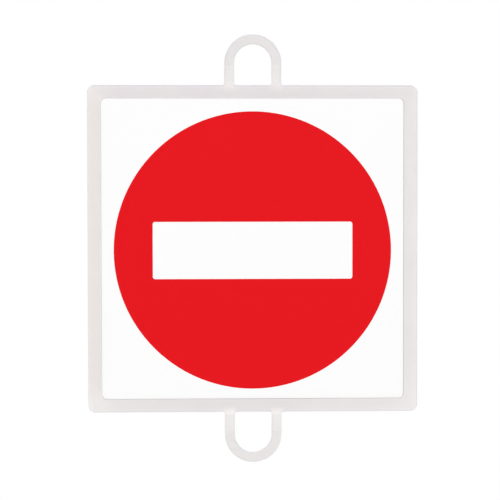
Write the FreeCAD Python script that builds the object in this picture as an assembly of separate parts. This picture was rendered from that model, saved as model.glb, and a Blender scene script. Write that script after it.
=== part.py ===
import FreeCAD, Part
import math
import os
from FreeCAD import Vector

# No entry sign for a barrier chain, in millimetres, +Z up, its printed front towards -Y.
# The origin is inside the crown of the top hoop, at the point that a chain link carries, half way through the
# thickness. One moulding holds the rim, the thin web that fills it and both hoops. A white face sheet lies on
# the front of the web, and the red of the sign is printed on that sheet.

# Overall plate
SIGN_WIDTH = 300.0
SIGN_HEIGHT = 297.0
SIGN_CORNER_R = 6.4

# Rim and web, in section
SIDE_BAR = 12.4
END_BAR = 11.75
RIM_DEPTH = 5.0
RIM_EDGE_R = 1.2
RIM_INNER_EASE = 0.25
WEB_THICKNESS = 2.8
OPENING_CORNER_R = 4.6
WALL_DRAFT_DEG = 3.0

# Hoops
HOOP_INNER_R = 16.8
HOOP_BAR = 9.1
HOOP_THICKNESS = 4.0
HOOP_EDGE_R = 1.3
HOOP_STANDOFF = 20.2
NECK_LENGTH = 16.4
NECK_STEP_RUN = 0.6
NECK_THICKNESS = 3.2
ROOT_THICKNESS = 2.4
ROOT_FLARE_R = 2.4
ROOT_FLARE_THICKNESS = 1.8
SCOOP_RUN = 2.8

# Face sheet and print
SHEET_THICKNESS = 0.25
SHEET_NEAR_GAP = 0.05
SHEET_RIGHT_GAP = 0.6
SHEET_BOTTOM_GAP = 0.5
PRINT_THICKNESS = 0.1
PRINT_DROP = 1.5
DISC_MARGIN = 8.9
BAR_END_MARGIN = 35.3
BAR_HEIGHT = 52.0
BAR_CORNER_R = 2.2

# How far a cutting tool reaches past a face, and how near counts as on a plane
MERGE = 1.0
TOUCH = 1e-6

# Places that follow from the sizes above
TOP_EDGE_Z = -(HOOP_STANDOFF + HOOP_INNER_R)
CENTRE_Z = TOP_EDGE_Z - SIGN_HEIGHT / 2
ARC_CENTRE = Vector(0, 0, -HOOP_INNER_R)
LEG_X = HOOP_INNER_R + HOOP_BAR / 2
OPENING_WIDTH = SIGN_WIDTH - 2 * SIDE_BAR
OPENING_HEIGHT = SIGN_HEIGHT - 2 * END_BAR
SHEET_WIDTH = OPENING_WIDTH - SHEET_NEAR_GAP - SHEET_RIGHT_GAP
SHEET_HEIGHT = OPENING_HEIGHT - SHEET_NEAR_GAP - SHEET_BOTTOM_GAP
SHEET_X = (SHEET_NEAR_GAP - SHEET_RIGHT_GAP) / 2
SHEET_Z = CENTRE_Z + (SHEET_BOTTOM_GAP - SHEET_NEAR_GAP) / 2
SHEET_CORNER_R = OPENING_CORNER_R - SHEET_NEAR_GAP
DISC_R = min(SHEET_WIDTH / 2, SHEET_HEIGHT / 2 - PRINT_DROP) - DISC_MARGIN
BAR_WIDTH = 2 * (DISC_R - BAR_END_MARGIN)


def rounded_loop(width, height, corner_r, centre, across, up):
    """A closed wire round a rectangle with rounded corners, in the plane of the two directions."""
    def point(u, v):
        return centre + across * u + up * v

    inset = corner_r * (1 - math.sqrt(0.5))
    edges = []
    corners = [(1, -1), (1, 1), (-1, 1), (-1, -1)]
    for number, (su, sv) in enumerate(corners):
        u, v = su * width / 2, sv * height / 2
        beside = (point(u - su * corner_r, v), point(u, v - sv * corner_r))
        start, end = beside if su * sv < 0 else beside[::-1]
        middle = point(u - su * inset, v - sv * inset)
        edges.append(Part.Arc(start, middle, end).toShape())
        next_su, next_sv = corners[(number + 1) % 4]
        nu, nv = next_su * width / 2, next_sv * height / 2
        if next_su * next_sv < 0:
            following = point(nu - next_su * corner_r, nv)
        else:
            following = point(nu, nv - next_sv * corner_r)
        edges.append(Part.LineSegment(end, following).toShape())
    return Part.Wire(edges)


def plate_loop(width, height, corner_r, x, y, z):
    """An upright rounded rectangle that faces the viewer."""
    return rounded_loop(width, height, corner_r, Vector(x, y, z), Vector(1, 0, 0), Vector(0, 0, 1))


def plate(width, height, corner_r, x, y, z, thickness):
    """A flat rounded plate whose front is at y, with its thickness behind it."""
    return Part.Face(plate_loop(width, height, corner_r, x, y, z)).extrude(Vector(0, thickness, 0))


def bar_loop(x, z):
    """A level section through the bar that the hoops are bent from."""
    return rounded_loop(HOOP_BAR, HOOP_THICKNESS, HOOP_EDGE_R, Vector(x, 0, z), Vector(1, 0, 0), Vector(0, 1, 0))


def rounded_block():
    """The plate before its two recesses, with its outer edges rounded."""
    block = plate(SIGN_WIDTH, SIGN_HEIGHT, SIGN_CORNER_R, 0, -RIM_DEPTH / 2, CENTRE_Z, RIM_DEPTH)
    faces = [f for f in block.Faces if abs(abs(f.CenterOfMass.y) - RIM_DEPTH / 2) < TOUCH]
    edges = [e for f in faces for e in f.Edges]
    return block.makeFillet(RIM_EDGE_R, edges)


def recess(side):
    """The tool that sinks one face down to the web, with drafted walls."""
    depth = (RIM_DEPTH - WEB_THICKNESS) / 2
    loops = []
    for rise in (0, depth + MERGE):
        spread = rise * math.tan(math.radians(WALL_DRAFT_DEG))
        loops.append(plate_loop(OPENING_WIDTH + 2 * spread, OPENING_HEIGHT + 2 * spread,
                                OPENING_CORNER_R + spread, 0, side * (WEB_THICKNESS / 2 + rise), CENTRE_Z))
    return Part.makeLoft(loops, True, True)


def rim_and_web():
    """The plate with both recesses sunk, and the rim's inner edges eased."""
    body = rounded_block().cut([recess(side) for side in (-1, 1)])
    faces = [f for f in body.Faces if abs(abs(f.CenterOfMass.y) - RIM_DEPTH / 2) < TOUCH]
    inner = [e for f in faces for e in f.Edges
             if abs(e.CenterOfMass.x) < SIGN_WIDTH / 2 - SIDE_BAR / 2
             and abs(e.CenterOfMass.z - CENTRE_Z) < SIGN_HEIGHT / 2 - END_BAR / 2]
    return body.makeChamfer(RIM_INNER_EASE, inner)


def flare(x, way):
    """The small concave gusset where one side of a leg meets the rim."""
    side_x, tip_x = x + way * HOOP_BAR / 2, x + way * (HOOP_BAR / 2 + ROOT_FLARE_R)
    middle = ROOT_FLARE_R * (1 - math.sqrt(0.5))

    def point(px, height):
        return Vector(px, -ROOT_FLARE_THICKNESS / 2, TOP_EDGE_Z + height)

    curve = Part.Arc(point(tip_x, 0), point(side_x + way * middle, middle), point(side_x, ROOT_FLARE_R))
    rest = Part.makePolygon([
        point(side_x, ROOT_FLARE_R),
        point(side_x - way * MERGE, ROOT_FLARE_R),
        point(side_x - way * MERGE, -MERGE),
        point(tip_x, -MERGE),
        point(tip_x, 0),
    ])
    outline = Part.Wire([curve.toShape()] + rest.Edges)
    return Part.Face(outline).extrude(Vector(0, ROOT_FLARE_THICKNESS, 0))


def scoop(x, side):
    """The tool that ramps the rim's edge down to a leg's root on one face."""
    face_y = side * RIM_DEPTH / 2
    root_y = side * ROOT_THICKNESS / 2
    slope = (face_y - root_y) / SCOOP_RUN
    corners = [
        (root_y - slope * MERGE, TOP_EDGE_Z + MERGE),
        (face_y + slope * MERGE, TOP_EDGE_Z - SCOOP_RUN - MERGE),
        (face_y + slope * MERGE, TOP_EDGE_Z + MERGE),
    ]
    points = [Vector(x - HOOP_BAR / 2, y, z) for y, z in corners]
    outline = Part.makePolygon(points + points[:1])
    return Part.Face(outline).extrude(Vector(HOOP_BAR, 0, 0))


def thinning(side):
    """The tool that thins both legs of a hoop on one face: a small slope at the step, then a taper to the root."""
    step_z = TOP_EDGE_Z + NECK_LENGTH
    outside = HOOP_THICKNESS / 2 + MERGE
    profile = [
        (HOOP_THICKNESS / 2, step_z + NECK_STEP_RUN),
        (NECK_THICKNESS / 2, step_z),
        (ROOT_THICKNESS / 2, TOP_EDGE_Z),
        (ROOT_THICKNESS / 2, TOP_EDGE_Z - SCOOP_RUN - MERGE),
        (outside, TOP_EDGE_Z - SCOOP_RUN - MERGE),
        (outside, step_z + NECK_STEP_RUN),
    ]
    reach = HOOP_INNER_R + HOOP_BAR + MERGE
    points = [Vector(-reach, side * y, z) for y, z in profile]
    return Part.Face(Part.makePolygon(points + points[:1])).extrude(Vector(2 * reach, 0, 0))


def hoop():
    """The top hoop: one rounded bar bent round into a U, with its legs thinned and flared where they meet the rim."""
    foot_z = TOP_EDGE_Z - SCOOP_RUN
    ring = Part.Face(bar_loop(-LEG_X, ARC_CENTRE.z)).revolve(ARC_CENTRE, Vector(0, 1, 0), 180)
    legs = [Part.Face(bar_loop(x, foot_z)).extrude(Vector(0, 0, ARC_CENTRE.z - foot_z)) for x in (-LEG_X, LEG_X)]
    bent_bar = ring.multiFuse(legs).cut([thinning(side) for side in (-1, 1)])
    return bent_bar.multiFuse([flare(x, way) for x in (-LEG_X, LEG_X) for way in (-1, 1)])


def in_both_ends(shape):
    """The shape at the top of the sign and its mirror image at the bottom."""
    return [shape, shape.mirror(Vector(0, 0, CENTRE_Z), Vector(0, 0, 1))]


def moulding():
    """Rim, web and both hoops, as they leave the mould in one piece."""
    scoops = []
    for x in (-LEG_X, LEG_X):
        for side in (-1, 1):
            scoops += in_both_ends(scoop(x, side))
    return rim_and_web().cut(scoops).multiFuse(in_both_ends(hoop())).removeSplitter()


def face_sheet():
    """The white sheet, pushed up to the top and left of the front recess."""
    front_y = -WEB_THICKNESS / 2 - SHEET_THICKNESS
    return plate(SHEET_WIDTH, SHEET_HEIGHT, SHEET_CORNER_R, SHEET_X, front_y, SHEET_Z, SHEET_THICKNESS)


def red_print():
    """The red disc, with the bar left open to the white sheet."""
    back_y = -WEB_THICKNESS / 2 - SHEET_THICKNESS
    centre_z = SHEET_Z - PRINT_DROP
    disc = Part.makeCylinder(DISC_R, PRINT_THICKNESS, Vector(SHEET_X, back_y, centre_z), Vector(0, -1, 0))
    front_y = back_y - PRINT_THICKNESS - MERGE
    bar = plate(BAR_WIDTH, BAR_HEIGHT, BAR_CORNER_R, SHEET_X, front_y, centre_z, PRINT_THICKNESS + MERGE)
    return disc.cut(bar)


NODES = {
    "moulded_frame": moulding,
    "white_face_sheet": face_sheet,
    "red_print": red_print,
}

os.makedirs("parts", exist_ok=True)
for name, make in NODES.items():
    shape = make()
    solids = shape.Solids
    solid = solids[0] if len(solids) == 1 else shape
    box = solid.BoundBox
    print(f"{name}: {len(solids)} solid, valid {solid.isValid()}, {solid.Volume / 1000:.2f} cm3, "
          f"{box.XLength:.2f} x {box.YLength:.2f} x {box.ZLength:.2f} mm, z {box.ZMin:.2f} to {box.ZMax:.2f}")
    solid.exportStep(f"parts/{name}.step")
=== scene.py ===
# %% [markdown]
# # A no entry sign for a barrier chain
#
# The real object is one square moulding in natural, milky plastic: a rim, a thin web inside it and a U-shaped
# hoop at the top and bottom. A white sheet lies on the front of the web, and the red disc is printed on it.
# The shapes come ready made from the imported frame, so this file is about light, plastic, film and ink.

# %% Load the frame
import math
from types import SimpleNamespace

import bpy
from mathutils import Matrix, Vector


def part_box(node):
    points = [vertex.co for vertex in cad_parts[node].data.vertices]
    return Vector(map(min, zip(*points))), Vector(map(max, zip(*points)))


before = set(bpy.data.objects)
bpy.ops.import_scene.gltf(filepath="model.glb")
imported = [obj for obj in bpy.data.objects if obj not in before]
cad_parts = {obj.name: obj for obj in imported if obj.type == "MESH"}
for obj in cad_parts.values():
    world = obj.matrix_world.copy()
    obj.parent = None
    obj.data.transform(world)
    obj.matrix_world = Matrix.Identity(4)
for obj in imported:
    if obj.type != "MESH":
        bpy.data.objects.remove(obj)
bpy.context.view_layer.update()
print("nodes:", sorted(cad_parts))

# %% [markdown]
# ## Where things are
#
# The outer sizes are read from the frame, so that a change of size in the model carries through to the looks.
# The moulding's box gives the width of the rim and the reach of the hoops, and the sheet's box its cut edge.
# A place inside the moulding, such as the step in a hoop, is in no box, so it is written in millimetres where
# it is first needed.

# %% Read the sizes
MOULDING, SHEET, PRINT = "moulded_frame", "white_face_sheet", "red_print"
MM = 0.001

low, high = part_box(MOULDING)
sheet_low, sheet_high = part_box(SHEET)
print_low, print_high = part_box(PRINT)
sign_centre = (low + high) / 2
for piece, span in ((MOULDING, high - low), (SHEET, sheet_high - sheet_low), (PRINT, print_high - print_low)):
    print(f"{piece}: {span.x:.4f} x {span.y:.4f} x {span.z:.4f} m")

# %% [markdown]
# ## The camera
#
# The photograph was taken almost square to the sign. The rim's top is a hair wider than its bottom, and its
# left side a hair taller than its right, so the lens stood a little above and to the left. A long lens from
# one and a half metres gives that small convergence. The camera is made first, since it decides what shows.

# %% Place the camera
CAMERA_DISTANCE = 1.5
CAMERA_AZIMUTH = math.radians(-1.82)
CAMERA_ELEVATION = math.radians(1.88)
CAMERA_ROLL = math.radians(-0.08)
CAMERA_AIM = Vector((-2.7 * MM, 0, -186.5 * MM))
LENS_MM = 118.7

towards_camera = Vector((
    math.sin(CAMERA_AZIMUTH) * math.cos(CAMERA_ELEVATION),
    -math.cos(CAMERA_AZIMUTH) * math.cos(CAMERA_ELEVATION),
    math.sin(CAMERA_ELEVATION),
))
camera_data = bpy.data.cameras.new("photo_camera")
camera_data.lens = LENS_MM
camera = bpy.data.objects.new("photo_camera", camera_data)
bpy.context.scene.collection.objects.link(camera)
placed = Matrix.Translation(CAMERA_AIM + towards_camera * CAMERA_DISTANCE)
turned = (-towards_camera).to_track_quat("-Z", "Y").to_matrix().to_4x4()
camera.matrix_world = placed @ turned @ Matrix.Rotation(CAMERA_ROLL, 4, "Z")
bpy.context.scene.camera = camera
print("camera at", [round(v, 3) for v in camera.matrix_world.translation])

# %% [markdown]
# ## Building materials from nodes
#
# A material is a small graph whose nodes pass values along their links. It can be drawn by hand in the shader
# editor, but a script can also give names to its parts and use them again. These helpers keep each graph
# readable: one adds a node and fills its sockets by name, one starts a material with a Principled shader, and
# the others add the sums and the noise that every material here needs. A number that is the same all over a
# surface is set straight on the shader.

# %% Node helpers
def add_node(tree, kind, sockets=None, **settings):
    """Add one node, set its properties, then fill each named socket with a value or a link."""
    node = tree.nodes.new(kind)
    for name, value in settings.items():
        setattr(node, name, value)
    for name, value in (sockets or {}).items():
        if isinstance(value, bpy.types.NodeSocket):
            tree.links.new(value, node.inputs[name])
        else:
            node.inputs[name].default_value = value
    return node


def start_material(name, **shader_values):
    """A new material with a Principled shader, whose plain values are set on its own sockets."""
    material = bpy.data.materials.new(name)
    material.use_nodes = True
    tree = material.node_tree
    shader = tree.nodes["Principled BSDF"]
    for socket, value in shader_values.items():
        shader.inputs[socket.replace("_", " ")].default_value = value
    return material, tree, shader


def math_node(tree, operation, first, second=0.0, clamp=False):
    """A Math node's result, from links or plain numbers."""
    node = add_node(tree, "ShaderNodeMath", {0: first, 1: second}, operation=operation, use_clamp=clamp)
    return node.outputs[0]


def sum_of(tree, *shares):
    """All the shares added up."""
    total = shares[0]
    for share in shares[1:]:
        total = math_node(tree, "ADD", share, total)
    return total


def product_of(tree, first, second):
    """One value times the other."""
    return math_node(tree, "MULTIPLY", first, second)


def noise(tree, point, scale, detail, **more):
    """A smooth random value round 0.5, which changes from point to point."""
    sockets = {"Vector": point, "Scale": scale, "Detail": detail, **more}
    return add_node(tree, "ShaderNodeTexNoise", sockets).outputs["Fac"]


print("helpers:", ", ".join(each.__name__ for each in (
    add_node, start_material, math_node, sum_of, product_of, noise)))

# %% [markdown]
# ## Effects that are shared
#
# An effect that more than one material needs is built once, as a node group with named sockets, and then
# placed in each material with that material's own values. Copying its nodes into each would look the same,
# but a later change would have to be made in every copy. One helper starts a group and another places it.

# %% Group helpers
def start_group(name, inputs, outputs):
    """A node group with named number sockets, and the values that it will be given."""
    group = bpy.data.node_groups.new(name, "ShaderNodeTree")
    for socket_name, default in inputs.items():
        socket = group.interface.new_socket(socket_name, in_out="INPUT", socket_type="NodeSocketFloat")
        socket.default_value = default
    for socket_name in outputs:
        group.interface.new_socket(socket_name, in_out="OUTPUT", socket_type="NodeSocketFloat")
    print(name, "takes", ", ".join(inputs), "and gives", ", ".join(outputs))
    return group, group.nodes.new("NodeGroupInput").outputs


def place_group(tree, group, **values):
    """The outputs of a group that is placed in a material with that material's own values."""
    node = add_node(tree, "ShaderNodeGroup", node_tree=group)
    for name, value in values.items():
        node.inputs[name.replace("_", " ")].default_value = value
    return node.outputs


print("helpers:", start_group.__name__, place_group.__name__)

# %% [markdown]
# No moulded or printed surface is optically flat. It has a fine tooth, too small to see, that spreads the
# highlight, and a slow waviness that bends it. The plastic, the film and the ink all need both, at different
# strengths, so this satin surface is the first group.

# %% Build the satin surface group
SATIN_INPUTS = {
    "Tooth Scale": 2500.0, "Tooth Height": 0.2, "Wave Scale": 12.0, "Wave Height": 0.5,
    "Roughness": 0.4, "Roughness Spread": 0.05,
}


def make_satin_group():
    """Tooth and waviness: a height for Bump, and a roughness that varies a little round a given value."""
    group, given = start_group("satin_surface", SATIN_INPUTS, ("Height", "Roughness"))
    point = group.nodes.new("ShaderNodeTexCoord").outputs["Object"]
    tooth = noise(group, point, given["Tooth Scale"], detail=2.0)
    wave = noise(group, point, given["Wave Scale"], detail=1.0)
    height = sum_of(group, product_of(group, wave, given["Wave Height"]),
                    product_of(group, tooth, given["Tooth Height"]))
    swing = product_of(group, math_node(group, "SUBTRACT", wave, 0.5), given["Roughness Spread"])
    roughness = math_node(group, "ADD", given["Roughness"], swing, clamp=True)
    add_node(group, "NodeGroupOutput", {"Height": height, "Roughness": roughness})
    return group


satin_group = make_satin_group()

# %% [markdown]
# The Bump node stays outside the group, in each material, because it turns the height into a normal for that
# material's own shader. Its distance says how many metres a height of 1 stands for.

# %% Put the satin surface to use
def use_satin(tree, shader, bump_distance, **values):
    """Place the satin group in a material and feed the shader's roughness and normal from it."""
    satin = place_group(tree, satin_group, **values)
    bump = add_node(tree, "ShaderNodeBump", {"Height": satin["Height"], "Distance": bump_distance})
    tree.links.new(satin["Roughness"], shader.inputs["Roughness"])
    tree.links.new(bump.outputs["Normal"], shader.inputs["Normal"])


print("nodes in the satin group:", len(satin_group.nodes))

# %% [markdown]
# ## Natural plastic
#
# The moulding has no pigment. It looks milky because light wanders inside it before it comes out again, so
# thin places are paler than thick ones: the necks of the hoops, and most of all their roots. A little
# subsurface scattering softens the edges. Most of the paleness is painted light, put in by place, because that
# also survives in an exported model. First come the places, measured from the middle of the sign: how far out
# to the side a point is and how far up or down, and then the same as signed shares of the rim.

# %% Places on the moulding
RIM_HALF_WIDTH = (high.x - low.x) / 2
RIM_HALF_HEIGHT = 148.5 * MM
SIDE_BAR, END_BAR = 12.4 * MM, 11.75 * MM
HOOP_BAR = 9.1 * MM
LEG_OUT = 21.35 * MM
STEP_UP = RIM_HALF_HEIGHT + 16.4 * MM
HOOP_CENTRE_UP = (high.z - low.z) / 2 - 25.9 * MM


def moulding_places(tree):
    """Out and up in metres, rightward and downward as signed shares of the rim, and the point itself."""
    point = tree.nodes.new("ShaderNodeTexCoord").outputs["Object"]
    parts = add_node(tree, "ShaderNodeSeparateXYZ", {0: point}).outputs
    above = math_node(tree, "SUBTRACT", parts["Z"], sign_centre.z)
    return SimpleNamespace(
        point=point,
        out=math_node(tree, "ABSOLUTE", parts["X"]),
        up=math_node(tree, "ABSOLUTE", above),
        rightward=math_node(tree, "DIVIDE", parts["X"], RIM_HALF_WIDTH),
        downward=math_node(tree, "DIVIDE", above, -RIM_HALF_HEIGHT),
    )


print(f"step at {STEP_UP:.4f} m, arc centre at {HOOP_CENTRE_UP:.4f} m from the middle")

# %% [markdown]
# Plastic has no hard borders, so every mask is an eased step from one value to another. A smooth Map Range
# gives that in one node, and a few named uses of it say what the step is between.

# %% Masks from places
HALF_BLEND = 0.5


def smooth_map(tree, value, start, end, first=0.0, last=1.0):
    """The first result up to start, the last from end on, and an eased step between them."""
    eased = add_node(tree, "ShaderNodeMapRange", {
        "Value": value, "From Min": start, "From Max": end, "To Min": first, "To Max": last,
    }, interpolation_type="SMOOTHSTEP")
    return eased.outputs["Result"]


def top_to_bottom(tree, at, top, bottom):
    """One value in the upper half of the sign and another in the lower."""
    return smooth_map(tree, at.downward, -HALF_BLEND, HALF_BLEND, top, bottom)


def left_to_right(tree, at, left, right):
    """One value in the left half of the sign and another in the right."""
    return smooth_map(tree, at.rightward, -HALF_BLEND, HALF_BLEND, left, right)


def mix_value(tree, factor, first, second):
    """One value at factor 0 and the other at 1."""
    return add_node(tree, "ShaderNodeMix", {"Factor": factor, "A": first, "B": second}).outputs["Result"]


def distance_from(tree, value, place):
    """How far a value is from a place, on either side of it."""
    return math_node(tree, "ABSOLUTE", math_node(tree, "SUBTRACT", value, place))


def straight_distance(tree, aside, along):
    """The length of the slanting side of a right triangle."""
    squares = sum_of(tree, math_node(tree, "POWER", along, 2.0), math_node(tree, "POWER", aside, 2.0))
    return math_node(tree, "SQRT", squares)


print(f"halves of the sign blend over {HALF_BLEND:.0%} of the way to each edge")

# %% [markdown]
# The rim is a frame of four bars, so a point on it is best described by its place in a bar: how far across,
# from 0 at the inner edge to 1 at the outer, whether the bar is a side bar or an end bar, and how near the
# point is to a corner. The later masks are made from these. Across a bar, lengths are counted in its widths.

# %% Places on the rim
BAR_BLEND = 0.6
CORNER_START = -1.6


def add_rim_places(tree, at):
    """Across the bar (unclamped), 1 on a side bar and 0 on an end bar, and 1 in a corner."""
    past_side = math_node(tree, "SUBTRACT", at.out, RIM_HALF_WIDTH - SIDE_BAR)
    past_end = math_node(tree, "SUBTRACT", at.up, RIM_HALF_HEIGHT - END_BAR)
    in_side_bars = math_node(tree, "DIVIDE", past_side, SIDE_BAR)
    in_end_bars = math_node(tree, "DIVIDE", past_end, END_BAR)
    at.across = math_node(tree, "MAXIMUM", in_side_bars, in_end_bars)
    difference = math_node(tree, "SUBTRACT", in_side_bars, in_end_bars)
    at.side = smooth_map(tree, difference, -BAR_BLEND, BAR_BLEND)
    in_both = math_node(tree, "MINIMUM", in_side_bars, in_end_bars)
    at.corner = smooth_map(tree, in_both, CORNER_START, BAR_BLEND)


def by_bar(tree, at, top, bottom, left, right):
    """A value of its own for each bar of the rim, blended at the corners."""
    end_value = top_to_bottom(tree, at, top, bottom)
    side_value = left_to_right(tree, at, left, right)
    return mix_value(tree, at.side, end_value, side_value)


print(f"side bars {SIDE_BAR / MM:.2f} mm wide, end bars {END_BAR / MM:.2f} mm")

# %% [markdown]
# Paleness is a number from 0, deep, to 1, pale. On the rim it grows a little from the inner edge outward, as
# painted light from the white round the sign, and it rises a little towards the bottom and the right. It is
# strongest at the corners, most of all at the lower left, which is painted light too. The side bars are paler
# than the top and bottom ones, which are deepest in the middle, between the hoops. The eased inner edge gets a
# thin line of painted light against its shade where the sheet fits closely, at the top and the left.

# %% Paleness of the rim
RIM_PALENESS = 0.22
BAR_PALENESS = {"top": 0.01, "bottom": 0.05, "left": 0.15, "right": 0.09}
# Painted light at the corners, stronger towards the left and the bottom.
CORNER_PALENESS, CORNER_LEFTWARD, CORNER_DOWNWARD = 0.15, 0.10, 0.05
# Paler towards the bottom and the right.
DRIFT = 0.03
# Painted light that grows from the inner edge of a bar outward.
OUTWARD_PALENESS = 0.08
BETWEEN_LEGS_FROM, BETWEEN_LEGS_TO = 80 * MM, 15 * MM
BETWEEN_LEGS = {"top": -0.05, "bottom": -0.12}
# A thin line of painted light on the eased inner edge, at the top and the left, against its shade.
EASE_PAINTED_LIGHT = {"top": 0.24, "bottom": 0.0, "left": 0.14, "right": 0.0}
EASE_PLACE, EASE_NONE, EASE_FULL = 0.03, 0.09, 0.02


def rim_paleness(tree, at):
    """How pale the rim is at a point, much of it painted light."""
    corner_share = sum_of(tree, product_of(tree, at.rightward, -CORNER_LEFTWARD),
                          product_of(tree, at.downward, CORNER_DOWNWARD), CORNER_PALENESS)
    drift = sum_of(tree, product_of(tree, at.downward, DRIFT), product_of(tree, at.rightward, DRIFT))
    across = math_node(tree, "ADD", at.across, 0.0, clamp=True)
    near_middle = smooth_map(tree, at.out, BETWEEN_LEGS_FROM, BETWEEN_LEGS_TO)
    on_ease = smooth_map(tree, distance_from(tree, at.across, EASE_PLACE), EASE_NONE, EASE_FULL)
    return sum_of(
        tree,
        by_bar(tree, at, **BAR_PALENESS),
        product_of(tree, at.corner, corner_share),
        drift,
        product_of(tree, across, sum_of(tree, OUTWARD_PALENESS, drift)),
        product_of(tree, near_middle, top_to_bottom(tree, at, **BETWEEN_LEGS)),
        product_of(tree, on_ease, by_bar(tree, at, **EASE_PAINTED_LIGHT)),
        RIM_PALENESS,
    )


print("paleness of the bars:", {bar: round(RIM_PALENESS + share, 2) for bar, share in BAR_PALENESS.items()})

# %% [markdown]
# On a hoop, the neck between the step and the rim is thinner, so painted light makes it paler, and paler
# still near the rim, with a thin painted highlight at the step. The bottom hoop and the right-hand legs get a
# little more painted light. At each root the neck runs into the rim as a soft patch of painted light, a
# little wider than the leg. The patch is brighter at the bottom hoop, where the scooped root catches the
# light from above.

# %% Paleness of the legs, the necks and the roots
# The arc, and the neck made paler by painted light through the thinner plastic.
ARC_PALENESS, NECK_PALENESS = 0.21, 0.31
# More painted light near the rim and on the bottom hoop.
NEAR_ROOT_EXTRA, BOTTOM_HOOP_EXTRA = 0.06, 0.09
NEAR_ROOT_START = 9 * MM
HALF_STEP = 0.5 * MM
# A painted highlight along the step.
STEP_HIGHLIGHT = {"top": 0.34, "bottom": 0.12}
STEP_HIGHLIGHT_ABOVE, STEP_HIGHLIGHT_NONE, STEP_HIGHLIGHT_FULL = 0.2 * MM, 1.3 * MM, 0.2 * MM
# A little more painted light on the right-hand legs.
LEFT_LEG, RIGHT_LEG, LEG_BLEND = -0.01, 0.03, 0.1
# A patch of painted light at each root, brightest at the bottom hoop.
ROOT_PALENESS = {"top": 0.44, "bottom": 0.92}
ROOT_CORE = 0.42 * HOOP_BAR
ROOT_ASIDE, ROOT_ALONG_LEG = 3.4 * MM, 3.6 * MM
ROOT_ALONG_RIM = {"top": -8.2 * MM, "bottom": -5.4 * MM}


def hoop_paleness(tree, at):
    """The leg, the neck beyond the step with its painted light, and the painted highlight along the step."""
    off_step = distance_from(tree, at.up, STEP_UP + STEP_HIGHLIGHT_ABOVE)
    on_step = smooth_map(tree, off_step, STEP_HIGHLIGHT_NONE, STEP_HIGHLIGHT_FULL)
    return sum_of(
        tree,
        smooth_map(tree, at.up, STEP_UP + HALF_STEP, STEP_UP - HALF_STEP, ARC_PALENESS, NECK_PALENESS),
        smooth_map(tree, at.up, STEP_UP - NEAR_ROOT_START, RIM_HALF_HEIGHT, 0.0, NEAR_ROOT_EXTRA),
        top_to_bottom(tree, at, 0.0, BOTTOM_HOOP_EXTRA),
        smooth_map(tree, at.rightward, -LEG_BLEND, LEG_BLEND, LEFT_LEG, RIGHT_LEG),
        product_of(tree, on_step, top_to_bottom(tree, at, **STEP_HIGHLIGHT)),
    )


def root_patch(tree, at):
    """How far a point belongs to the root of a leg, from 1 at the root to 0 away from it."""
    past_core = math_node(tree, "SUBTRACT", distance_from(tree, at.out, LEG_OUT), ROOT_CORE)
    aside = math_node(tree, "DIVIDE", math_node(tree, "MAXIMUM", past_core, 0.0), ROOT_ASIDE)
    past_edge = math_node(tree, "SUBTRACT", at.up, RIM_HALF_HEIGHT)
    along_leg = math_node(tree, "DIVIDE", past_edge, ROOT_ALONG_LEG)
    along_rim = math_node(tree, "DIVIDE", past_edge, top_to_bottom(tree, at, **ROOT_ALONG_RIM))
    along = math_node(tree, "MAXIMUM", along_leg, along_rim)
    return smooth_map(tree, straight_distance(tree, aside, along), 1.0, 0.0)


print("paleness of the arc and the neck:", ARC_PALENESS, NECK_PALENESS, "and of the roots:", ROOT_PALENESS)

# %% [markdown]
# The plate, the hoops and the roots are then laid over one another, with a faint cloud over all of them, as
# uncoloured plastic is never quite even. The web shows only at the back, behind the sheet, where it is
# thinner than the rim and paler, painted light from the white sheet shining back through it.

# %% Paleness all together
# Painted light from the white sheet behind the thin web.
WEB_PALENESS = 0.62
CLOUD_SCALE, CLOUD_DETAIL, CLOUD_ROUGHNESS = 26.0, 3.0, 0.55
CLOUD_LOW, CLOUD_HIGH, CLOUD_SWING = 0.3, 0.7, 0.04
PLATE_END = 0.2 * MM
RIM_START, RIM_FULL = -0.16, -0.06


def add_pieces(tree, at):
    """1 on the hoops, 1 on the rim and 1 at a root, each falling off softly to 0."""
    at.on_hoop = smooth_map(tree, at.up, RIM_HALF_HEIGHT - PLATE_END, RIM_HALF_HEIGHT + PLATE_END)
    at.on_rim = smooth_map(tree, at.across, RIM_START, RIM_FULL)
    at.at_root = root_patch(tree, at)


def plastic_paleness(tree, at):
    """From 0 for the deep colour to 1 for the pale one."""
    plate = mix_value(tree, at.on_rim, WEB_PALENESS, rim_paleness(tree, at))
    with_hoops = mix_value(tree, at.on_hoop, plate, hoop_paleness(tree, at))
    with_roots = mix_value(tree, at.at_root, with_hoops, top_to_bottom(tree, at, **ROOT_PALENESS))
    cloud = noise(tree, at.point, CLOUD_SCALE, CLOUD_DETAIL, Roughness=CLOUD_ROUGHNESS)
    cloudy = smooth_map(tree, cloud, CLOUD_LOW, CLOUD_HIGH, -CLOUD_SWING, CLOUD_SWING)
    return math_node(tree, "ADD", with_roots, cloudy, clamp=True)


print("paleness of the web:", WEB_PALENESS)

# %% [markdown]
# The hue changes as little as the depth does, and it is just as needed. The rim is faintly pink, the hoops
# are greyer, and the left bar has yellowed slightly at its outer side, as uncoloured plastic does in
# daylight. Two more masks say how grey and how yellow a point is.

# %% Hue of the plastic
RIM_GREYNESS = {"top": 0.05, "bottom": 0.25, "left": 0.1, "right": 0.15}
ARC_GREYNESS, ROOT_GREYNESS = 0.45, 0.25
YELLOW_FROM, YELLOW_FULL = -0.91, -0.96
YELLOW_FADES_FROM, YELLOW_FADES_TO = 0.2, 0.9
YELLOW_ABOVE, YELLOW_BELOW, YELLOW_IN_CORNER = 0.75, 0.45, 0.45


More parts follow.
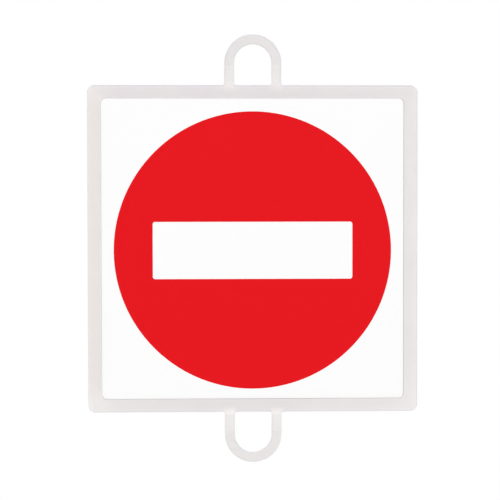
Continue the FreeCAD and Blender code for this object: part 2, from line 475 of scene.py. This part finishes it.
def plastic_greyness(tree, at):
    """How much of the deep colour's pink is lost."""
    on_plate = product_of(tree, by_bar(tree, at, **RIM_GREYNESS), at.on_rim)
    on_hoops = smooth_map(tree, at.up, STEP_UP, RIM_HALF_HEIGHT, ARC_GREYNESS, ROOT_GREYNESS)
    return mix_value(tree, at.on_hoop, on_plate, on_hoops)


def plastic_yellowing(tree, at):
    """How far daylight has yellowed the plastic: only the outer side of the left bar."""
    outer_left = smooth_map(tree, at.rightward, YELLOW_FROM, YELLOW_FULL)
    by_height = smooth_map(tree, at.downward, YELLOW_FADES_FROM, YELLOW_FADES_TO, YELLOW_ABOVE, YELLOW_BELOW)
    off_corner = smooth_map(tree, at.corner, 0.0, 1.0, 1.0, YELLOW_IN_CORNER)
    return product_of(tree, product_of(tree, outer_left, by_height), off_corner)


print(f"yellowed from {abs(YELLOW_FROM) * RIM_HALF_WIDTH:.3f} m left of the middle outward")

# %% [markdown]
# The rounded edges of the hoops and of the rim get painted shade, cooler and deeper than the flat faces,
# most of all on the sides that face up. For a hoop, the distance from the bar's own centre line gives that
# edge, straight along the legs and round in the arc. The painted shade could also be made from the viewing
# angle, but then it would slide in other views and be lost in an export, so it is a mask by place too.

# %% Painted shade on the rounded edges
# How strong the painted shade is on each bar's rounded edge, and on the hoops' outer and inner edges.
RIM_EDGE_SHADE = {"top": 0.85, "bottom": 0.35, "left": 0.2, "right": 0.45}
RIM_EDGE_START, RIM_EDGE_FULL = 0.84, 0.97
OUTER_EDGE_SHADE = {"top": 0.50, "bottom": 0.16}
INNER_EDGE_SHADE = {"top": 0.20, "bottom": 0.42}
OUTER_START, OUTER_FULL = 0.21 * HOOP_BAR, 0.49 * HOOP_BAR
INNER_START, INNER_FULL = -0.22 * HOOP_BAR, -0.50 * HOOP_BAR


def hoop_edge_shade(tree, at):
    """How much painted shade: 0 along the middle of the hoop's bar, rising to its sides, most on the side
    facing up.
    """
    arc_rise = math_node(tree, "MAXIMUM", math_node(tree, "SUBTRACT", at.up, HOOP_CENTRE_UP), 0.0)
    off_line = math_node(tree, "SUBTRACT", straight_distance(tree, arc_rise, at.out), LEG_OUT)
    outer = smooth_map(tree, off_line, OUTER_START, OUTER_FULL)
    inner = smooth_map(tree, off_line, INNER_START, INNER_FULL)
    return sum_of(tree, product_of(tree, outer, top_to_bottom(tree, at, **OUTER_EDGE_SHADE)),
                  product_of(tree, inner, top_to_bottom(tree, at, **INNER_EDGE_SHADE)))


def plastic_edge_shade(tree, at):
    """Painted shade on the rounded edges of the rim and of the hoops, left out at the roots."""
    rim_edge_shade = product_of(tree, smooth_map(tree, at.across, RIM_EDGE_START, RIM_EDGE_FULL),
                          by_bar(tree, at, **RIM_EDGE_SHADE))
    edge = mix_value(tree, at.on_hoop, rim_edge_shade, hoop_edge_shade(tree, at))
    return product_of(tree, edge, math_node(tree, "SUBTRACT", 1.0, at.at_root))


print("strength of the rim's edges:", RIM_EDGE_SHADE)

# %% [markdown]
# The material lays five colours over one another, each by its own mask: deep to greyed, then pale, much
# of it painted light, then yellowed, then the painted shade of the edges. Scattering over about five
# millimetres, as deep as the rim is thick, lets the light through to the far side of the edges.

# %% The natural plastic itself
DEEP_PLASTIC = (0.733, 0.694, 0.709)
GREYED_PLASTIC = (0.705, 0.700, 0.688)
PALE_PLASTIC = (0.900, 0.880, 0.862)
YELLOWED_PLASTIC = (0.803, 0.763, 0.731)
# The colour of the painted shade on the rounded edges.
SHADED_EDGE_PLASTIC = (0.620, 0.610, 0.680)
SCATTER_DEPTH = 5.2 * MM


def blend_colour(tree, factor, first, second):
    """One colour at factor 0 and the other at 1; each is a link or a plain colour."""
    pair = [c if isinstance(c, bpy.types.NodeSocket) else (*c, 1) for c in (first, second)]
    mix = add_node(tree, "ShaderNodeMix", {"Factor": factor, "A": pair[0], "B": pair[1]}, data_type="RGBA")
    return mix.outputs["Result"]


def natural_plastic():
    """Milky uncoloured plastic: cloudy, with painted light where it is thin and painted shade along its edges.
    """
    material, tree, shader = start_material(
        "natural_plastic",
        Subsurface_Weight=0.6, Subsurface_Radius=(SCATTER_DEPTH,) * 3, Subsurface_Scale=1.0, IOR=1.49,
    )
    at = moulding_places(tree)
    add_rim_places(tree, at)
    add_pieces(tree, at)
    colour = blend_colour(tree, plastic_greyness(tree, at), DEEP_PLASTIC, GREYED_PLASTIC)
    colour = blend_colour(tree, plastic_paleness(tree, at), colour, PALE_PLASTIC)
    colour = blend_colour(tree, plastic_yellowing(tree, at), colour, YELLOWED_PLASTIC)
    colour = blend_colour(tree, plastic_edge_shade(tree, at), colour, SHADED_EDGE_PLASTIC)
    tree.links.new(colour, shader.inputs["Base Color"])
    use_satin(tree, shader, bump_distance=0.1 * MM, Roughness=0.38, Roughness_Spread=0.08,
              Tooth_Scale=1800.0, Tooth_Height=0.15, Wave_Scale=14.0, Wave_Height=1.2)
    return material


plastic = natural_plastic()
print("plastic nodes:", len(plastic.node_tree.nodes))

# %% [markdown]
# ## White film and red ink
#
# The face sheet is plain white film with a low sheen. The ink lies on it as an even coat of signal red,
# duller than the film. Neither is a flat colour: the coat drifts a little from place to place, and a fine
# grain breaks it up close to. An image of the print could give the same, but it would blur from near by, so
# both come from noise. Film and ink need the same effect, so it is the second group.

# %% Build the printed coat group
COAT_INPUTS = {"Drift Scale": 9.0, "Grain Scale": 1400.0, "Grain Share": 0.35}


def make_coat_group():
    """How full an even coat is at a point, from a slow drift and a fine grain."""
    group, given = start_group("printed_coat", COAT_INPUTS, ("Fullness",))
    point = group.nodes.new("ShaderNodeTexCoord").outputs["Object"]
    drift = noise(group, point, given["Drift Scale"], detail=2.0)
    grain = noise(group, point, given["Grain Scale"], detail=2.0)
    add_node(group, "NodeGroupOutput", {"Fullness": mix_value(group, given["Grain Share"], drift, grain)})
    return group


coat_group = make_coat_group()

# %% [markdown]
# Where the coat is least full it is two percent darker, which is too little to see as a pattern, but enough to
# keep the surface from looking dead flat. Film and ink then differ in colour, roughness and sheen.

# %% An even coat
THINNEST_COAT = 0.980


def printed_surface(name, colour, roughness, sheen_level):
    """An even coat with a fine tooth, a very faint drift of colour and a finer grain."""
    material, tree, shader = start_material(name, IOR=1.46, Specular_IOR_Level=sheen_level)
    given = place_group(tree, coat_group, Drift_Scale=9.0, Grain_Scale=1400.0, Grain_Share=0.35)
    thinner = tuple(THINNEST_COAT * channel for channel in colour)
    coat = blend_colour(tree, given["Fullness"], thinner, colour)
    tree.links.new(coat, shader.inputs["Base Color"])
    use_satin(tree, shader, bump_distance=0.05 * MM, Roughness=roughness, Roughness_Spread=0.06,
              Tooth_Scale=3000.0, Tooth_Height=0.1, Wave_Scale=10.0, Wave_Height=0.8)
    return material, tree, shader, coat


print(f"the thinnest coat is {1 - THINNEST_COAT:.0%} darker")

# %% [markdown]
# The film's cut edge, half a millimetre wide, is a touch greyer than its face, partly from dust on the cut
# edge and partly painted shade where the film meets the rim. A line in the mesh could show it, but the
# distance to the sheet's own box gives it without a change to the shape.

# %% Film and ink
FILM_COLOUR = (0.988, 0.988, 0.988)
# Dust and painted shade along the film's cut edge.
FILM_EDGE_DUST_AND_SHADE = (0.930, 0.930, 0.935)
CUT_EDGE_WIDTH = 0.5 * MM
INK_COLOUR = (0.80, 0.0038, 0.0085)


def white_film():
    """The film, greyer along its cut edge, from dust and painted shade."""
    material, tree, shader, coat = printed_surface("white_film", FILM_COLOUR, roughness=0.45, sheen_level=0.3)
    middle, half = (sheet_low + sheet_high) / 2, (sheet_high - sheet_low) / 2
    point = tree.nodes.new("ShaderNodeTexCoord").outputs["Object"]
    parts = add_node(tree, "ShaderNodeSeparateXYZ", {0: point}).outputs
    past_x = math_node(tree, "SUBTRACT", distance_from(tree, parts["X"], middle.x), half.x)
    past_z = math_node(tree, "SUBTRACT", distance_from(tree, parts["Z"], middle.z), half.z)
    at_edge = smooth_map(tree, math_node(tree, "MAXIMUM", past_x, past_z), -CUT_EDGE_WIDTH, 0.0)
    tree.links.new(blend_colour(tree, at_edge, coat, FILM_EDGE_DUST_AND_SHADE), shader.inputs["Base Color"])
    return material


def red_ink():
    """The ink, as an even coat."""
    return printed_surface("red_ink", INK_COLOUR, roughness=0.5, sheen_level=0.12)[0]


film = white_film()
ink = red_ink()
print("film nodes:", len(film.node_tree.nodes), "ink nodes:", len(ink.node_tree.nodes))

# %% [markdown]
# ## Dressing the sign
#
# All three pieces come from the frame with the right shape, so none is replaced. Each keeps its mesh, and
# only the material in its slot is changed for the finish made above.

# %% Give each node its finish
for node, material in ((MOULDING, plastic), (SHEET, film), (PRINT, ink)):
    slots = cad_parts[node].data.materials
    slots.clear()
    slots.append(material)
print("finished:", MOULDING, SHEET, PRINT)

# %% [markdown]
# ## Stage and light
#
# The photograph has a plain white ground with no horizon and no cast shadow. A round pale floor lies well
# below the sign, out of the camera's view, and fades into a white world at its rim. More light would whiten
# the ground too, but it would wash out the sign, so the ground is only white to the eye: the scattered light
# that reaches the sign isn't changed by it.

# %% A round floor
FLOOR_DROP = 0.32
FLOOR_RADIUS = 1.25
FLOOR_COLOUR = 0.90
FLOOR_SIDES = 96
FADE_START, FADE_END = 0.45 * FLOOR_RADIUS, 0.97 * FLOOR_RADIUS


def seen_directly(tree):
    """1 for what the eye sees, also in a reflection or through something clear, and 0 for scattered light."""
    rays = tree.nodes.new("ShaderNodeLightPath").outputs
    direct = math_node(tree, "MAXIMUM", rays["Is Camera Ray"], rays["Is Glossy Ray"])
    return math_node(tree, "MAXIMUM", direct, rays["Is Transmission Ray"])


def floor_material():
    """Pale, white to the eye towards the rim, and clear to the eye from below."""
    material, tree, shader = start_material("floor", Roughness=0.9, Base_Color=(FLOOR_COLOUR,) * 3 + (1,))
    point = tree.nodes.new("ShaderNodeTexCoord").outputs["Object"]
    distance = add_node(tree, "ShaderNodeVectorMath", {0: point}, operation="LENGTH").outputs["Value"]
    fade = add_node(tree, "ShaderNodeMapRange", {
        "Value": distance, "From Min": FADE_START, "From Max": FADE_END})
    seen = seen_directly(tree)
    white = add_node(tree, "ShaderNodeEmission", {"Strength": 1.0}).outputs[0]
    fading = add_node(tree, "ShaderNodeMixShader", {
        0: product_of(tree, fade.outputs["Result"], seen), 1: shader.outputs[0], 2: white})
    underside = tree.nodes.new("ShaderNodeNewGeometry").outputs["Backfacing"]
    clear = tree.nodes.new("ShaderNodeBsdfTransparent").outputs[0]
    open_below = add_node(tree, "ShaderNodeMixShader", {
        0: product_of(tree, underside, seen), 1: fading.outputs[0], 2: clear})
    tree.links.new(open_below.outputs[0], tree.nodes["Material Output"].inputs["Surface"])
    return material


def make_floor():
    """A round floor below the sign."""
    turns = [2 * math.pi * side / FLOOR_SIDES for side in range(FLOOR_SIDES)]
    ring = [(FLOOR_RADIUS * math.cos(turn), FLOOR_RADIUS * math.sin(turn), 0) for turn in turns]
    mesh = bpy.data.meshes.new("floor")
    mesh.from_pydata(ring, [], [range(FLOOR_SIDES)])
    mesh.materials.append(floor_material())
    floor = bpy.data.objects.new("floor", mesh)
    floor.location.z = low.z - FLOOR_DROP
    bpy.context.scene.collection.objects.link(floor)
    return floor


floor = make_floor()
print(f"floor {2 * FLOOR_RADIUS:.2f} m across, at {floor.location.z:.3f} m")

# %% [markdown]
# The world gives most of the light, evenly from all sides, as a white studio does. It is plain white where it
# is seen, and a fifth weaker as a light, so that the pale plastic and the white film don't clip.

# %% A white room
WORLD_LIGHT = 0.80


def make_world():
    """White to the eye and in reflections, and softer as a light."""
    world = bpy.data.worlds.new("white_room")
    bpy.context.scene.world = world
    world.use_nodes = True
    tree = world.node_tree
    strength = add_node(tree, "ShaderNodeMapRange", {
        "Value": seen_directly(tree), "To Min": WORLD_LIGHT, "To Max": 1.0})
    background = tree.nodes["Background"]
    background.inputs["Color"].default_value = (1, 1, 1, 1)
    tree.links.new(strength.outputs["Result"], background.inputs["Strength"])
    return world


print("world:", make_world().name, "with light", WORLD_LIGHT)

# %% [markdown]
# Two large soft lamps in front add a little form: a key from the upper left and a weaker fill from the right.
# A third stands behind, so that the back of the sign isn't dull in the other views. A small lamp would draw
# hard highlights on the rounded edges, which the photograph doesn't have, so each is 1.4 metres square.

# %% Lamps
LAMP_SIZE = 1.4


def softbox(name, place, power):
    """A large square lamp that faces the middle of the sign."""
    data = bpy.data.lights.new(name, "AREA")
    data.size = LAMP_SIZE
    data.energy = power
    lamp = bpy.data.objects.new(name, data)
    bpy.context.scene.collection.objects.link(lamp)
    lamp.location = place
    towards_sign = Vector((0, 0, sign_centre.z)) - Vector(place)
    lamp.rotation_euler = towards_sign.to_track_quat("-Z", "Y").to_euler()
    print(f"{name}: {power} W at {place}")


softbox("key_softbox", (-1.2, -1.9, 1.3), 11.6)
softbox("fill_softbox", (1.5, -1.8, 0.1), 5.75)
softbox("back_softbox", (0.6, 1.9, 1.0), 10.0)

# %% [markdown]
# ## Colour as written
#
# The Standard view shows a colour about as it is written in its material. The filmic views would dull the red
# and grey the white.

# %% Choose the view
bpy.context.scene.view_settings.view_transform = "Standard"
print("view:", bpy.context.scene.view_settings.view_transform)
